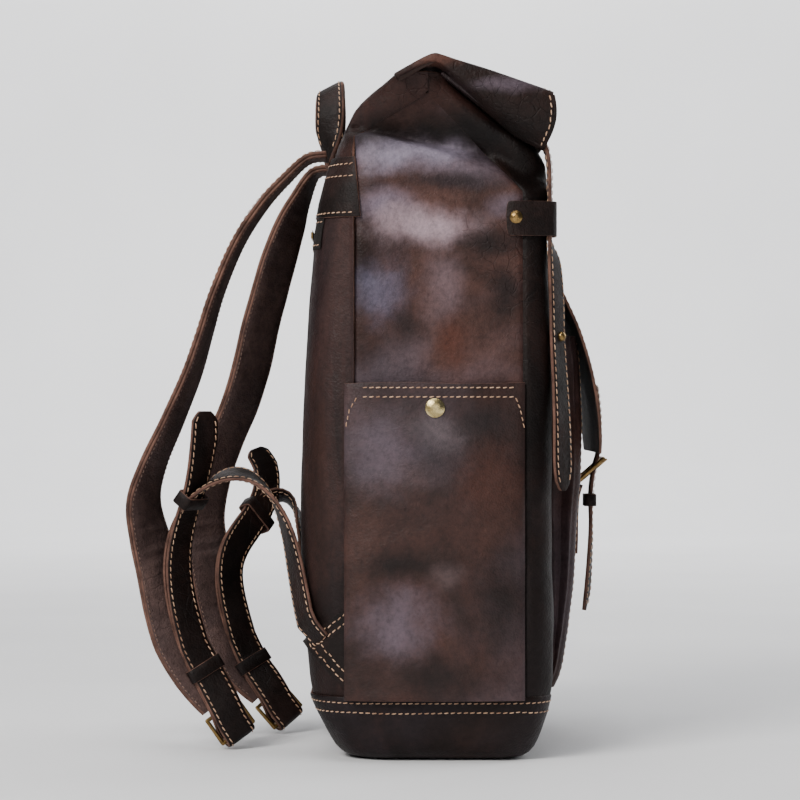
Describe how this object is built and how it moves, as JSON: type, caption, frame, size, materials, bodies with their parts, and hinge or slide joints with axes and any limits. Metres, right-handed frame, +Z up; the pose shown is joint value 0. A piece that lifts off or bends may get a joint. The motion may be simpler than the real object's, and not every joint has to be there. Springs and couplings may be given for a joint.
{
  "type": "leather backpack",
  "caption": "Tall roll-top leather backpack with a flapped and buckled front pocket, snap side pockets, haul handle, zipped back pocket and buckled shoulder straps.",
  "frame": {"origin": "middle of the base panel, on the surface that the bag stands on", "axes": "+Z up; the front with the buckled pocket faces -Y; the back with the shoulder straps faces +Y; the wearer's right is +X"},
  "size_m": [0.3132, 0.3555, 0.4974],
  "materials": {
    "body_leather": "waxed pull-up leather, satin",
    "strap_leather": "waxed pull-up leather, satin",
    "strap_lining": "matte lining leather",
    "lining_fabric": "plain woven cotton",
    "foam": "matte foam",
    "board": "matte",
    "antique_brass": "antique, brushed",
    "zip_tape": "woven tape"
  },
  "bodies": {
    "bag": {"front_panel": "body_leather", "back_panel": "body_leather", "gusset_left": "body_leather", "gusset_right": "body_leather", "base_panel": "body_leather", "base_board": "board", "lining": "lining_fabric", "back_pad": "foam", "zip_pouch": "lining_fabric", "laptop_sleeve": "lining_fabric", "yoke": "body_leather", "zip_tape": "zip_tape", "zip_chain": "antique_brass", "keeper_tab_left": "strap_leather", "keeper_tab_right": "strap_leather", "closure_studs": "antique_brass", "tab_rivets": "antique_brass", "snap_studs": "antique_brass", "front_pocket": "body_leather", "flap_band": "body_leather", "pocket_facing": "body_leather", "front_buckle": "antique_brass", "buckle_anchor": "strap_leather", "billet_keeper": "strap_leather", "corner_patch_left": "body_leather", "corner_patch_right": "body_leather"},
    "roll_top": {"flap_outer": "body_leather", "flap_inner": "body_leather", "flap_ends": "body_leather", "flap_hem": "body_leather"},
    "closure_left": {"closure_strap_left": "strap_leather"},
    "closure_right": {"closure_strap_right": "strap_leather"},
    "pocket_flap": {"pocket_flap": "body_leather"},
    "billet": {"billet": "strap_leather"},
    "front_prong": {"front_prong": "antique_brass"},
    "haul_handle": {"haul_handle": "strap_leather"},
    "zip_slider": {"zip_slider": "antique_brass"},
    "zip_puller": {"zip_puller": "antique_brass"},
    "side_pocket_left": {"side_pocket_left": "body_leather", "pocket_hem_left": "body_leather", "snap_cap_left": "antique_brass"},
    "strap_left": {"shoulder_strap_left": "strap_leather", "strap_lining_left": "strap_lining", "strap_buckle_left": "antique_brass", "adjuster_strap_left": "strap_leather", "fixed_keeper_left": "strap_leather"},
    "sliding_keeper_left": {"sliding_keeper_left": "strap_leather"},
    "strap_prong_left": {"strap_prong_left": "antique_brass"},
    "strap_roller_left": {"strap_roller_left": "antique_brass"},
    "side_pocket_right": {"side_pocket_right": "body_leather", "pocket_hem_right": "body_leather", "snap_cap_right": "antique_brass"},
    "strap_right": {"shoulder_strap_right": "strap_leather", "strap_lining_right": "strap_lining", "strap_buckle_right": "antique_brass", "adjuster_strap_right": "strap_leather", "fixed_keeper_right": "strap_leather"},
    "sliding_keeper_right": {"sliding_keeper_right": "strap_leather"},
    "strap_prong_right": {"strap_prong_right": "antique_brass"},
    "strap_roller_right": {"strap_roller_right": "antique_brass"}
  },
  "joints": [
    {"name": "roll_top_open", "type": "hinge", "parent": "bag", "child": "roll_top", "pos_m": [0, 0.003, 0.49], "axis": [-1, 0, 0], "range_deg": [0, 100]},
    {"name": "pocket_flap_open", "type": "hinge", "parent": "bag", "child": "pocket_flap", "pos_m": [0, -0.0865, 0.349], "axis": [-1, 0, 0], "range_deg": [0, 110]},
    {"name": "billet_hang", "type": "hinge", "parent": "pocket_flap", "child": "billet", "pos_m": [0, -0.1225, 0.236], "axis": [-1, 0, 0], "range_deg": [-110, 0], "deforming": ["billet"]},
    {"name": "front_prong_lift", "type": "hinge", "parent": "bag", "child": "front_prong", "pos_m": [0, -0.1105, 0.196], "axis": [1, 0, 0], "range_deg": [0, 50]},
    {"name": "haul_handle_tilt", "type": "hinge", "parent": "bag", "child": "haul_handle", "pos_m": [0, 0.0775, 0.431], "axis": [-1, 0, 0], "range_deg": [0, 60], "stiffness_Nm_per_rad": 0.02},
    {"name": "zip_slide", "type": "slide", "parent": "bag", "child": "zip_slider", "axis": [-1, 0, 0], "range_m": [0, 0.205]},
    {"name": "zip_pull_swing", "type": "hinge", "parent": "zip_slider", "child": "zip_puller", "pos_m": [0.108, 0.09177, 0.373], "axis": [1, 0, 0], "range_deg": [0, 150]},
    {"name": "closure_hang_left", "type": "hinge", "parent": "roll_top", "child": "closure_left", "pos_m": [-0.126, -0.0785, 0.431], "axis": [-1, 0, 0], "range_deg": [-80, 0], "deforming": ["closure_strap_left"]},
    {"name": "side_pocket_open_left", "type": "hinge", "parent": "bag", "child": "side_pocket_left", "pos_m": [-0.1465, 0, 0.0465], "axis": [0, -1, 0], "range_deg": [0, 5], "stiffness_Nm_per_rad": 0.6, "springref_deg": -2.86},
    {"name": "strap_swing_left", "type": "hinge", "parent": "bag", "child": "strap_left", "pos_m": [-0.062, 0.078, 0.433], "axis": [1, 0, 0], "range_deg": [0, 12], "deforming": ["adjuster_strap_left"]},
    {"name": "keeper_slide_left", "type": "slide", "parent": "strap_left", "child": "sliding_keeper_left", "axis": [0.2587, 0.5472, -0.796], "range_m": [-0.006, 0.01]},
    {"name": "prong_lift_left", "type": "hinge", "parent": "strap_left", "child": "strap_prong_left", "pos_m": [-0.062, 0.15433, 0.0285], "axis": [-0.3516, 0.7653, -0.5392], "range_deg": [0, 50]},
    {"name": "roller_turn_left", "type": "hinge", "parent": "strap_left", "child": "strap_roller_left", "pos_m": [-0.062, 0.14281, 0.01215], "axis": [-0.3516, 0.7653, -0.5392], "continuous": true},
    {"name": "closure_hang_right", "type": "hinge", "parent": "roll_top", "child": "closure_right", "pos_m": [0.126, -0.0785, 0.431], "axis": [-1, 0, 0], "range_deg": [-80, 0], "deforming": ["closure_strap_right"]},
    {"name": "side_pocket_open_right", "type": "hinge", "parent": "bag", "child": "side_pocket_right", "pos_m": [0.1465, 0, 0.0465], "axis": [0, 1, 0], "range_deg": [0, 5], "stiffness_Nm_per_rad": 0.6, "springref_deg": -2.86},
    {"name": "strap_swing_right", "type": "hinge", "parent": "bag", "child": "strap_right", "pos_m": [0.06, 0.078, 0.433], "axis": [1, 0, 0], "range_deg": [0, 12], "deforming": ["adjuster_strap_right"]},
    {"name": "keeper_slide_right", "type": "slide", "parent": "strap_right", "child": "sliding_keeper_right", "axis": [-0.6987, 0.411, -0.5856], "range_m": [-0.006, 0.01]},
    {"name": "prong_lift_right", "type": "hinge", "parent": "strap_right", "child": "strap_prong_right", "pos_m": [0.03854, 0.12386, 0.0279], "axis": [-0.4446, 0.6934, -0.567], "range_deg": [0, 50]},
    {"name": "roller_turn_right", "type": "hinge", "parent": "strap_right", "child": "strap_roller_right", "pos_m": [0.03689, 0.11062, 0.01301], "axis": [-0.4446, 0.6934, -0.567], "continuous": true}
  ],
  "couplings": [
    {"joint": "billet_hang", "follows": "pocket_flap_open", "ratio": -1},
    {"joint": "closure_hang_left", "follows": "roll_top_open", "ratio": -0.78},
    {"joint": "closure_hang_right", "follows": "roll_top_open", "ratio": -0.78}
  ]
}
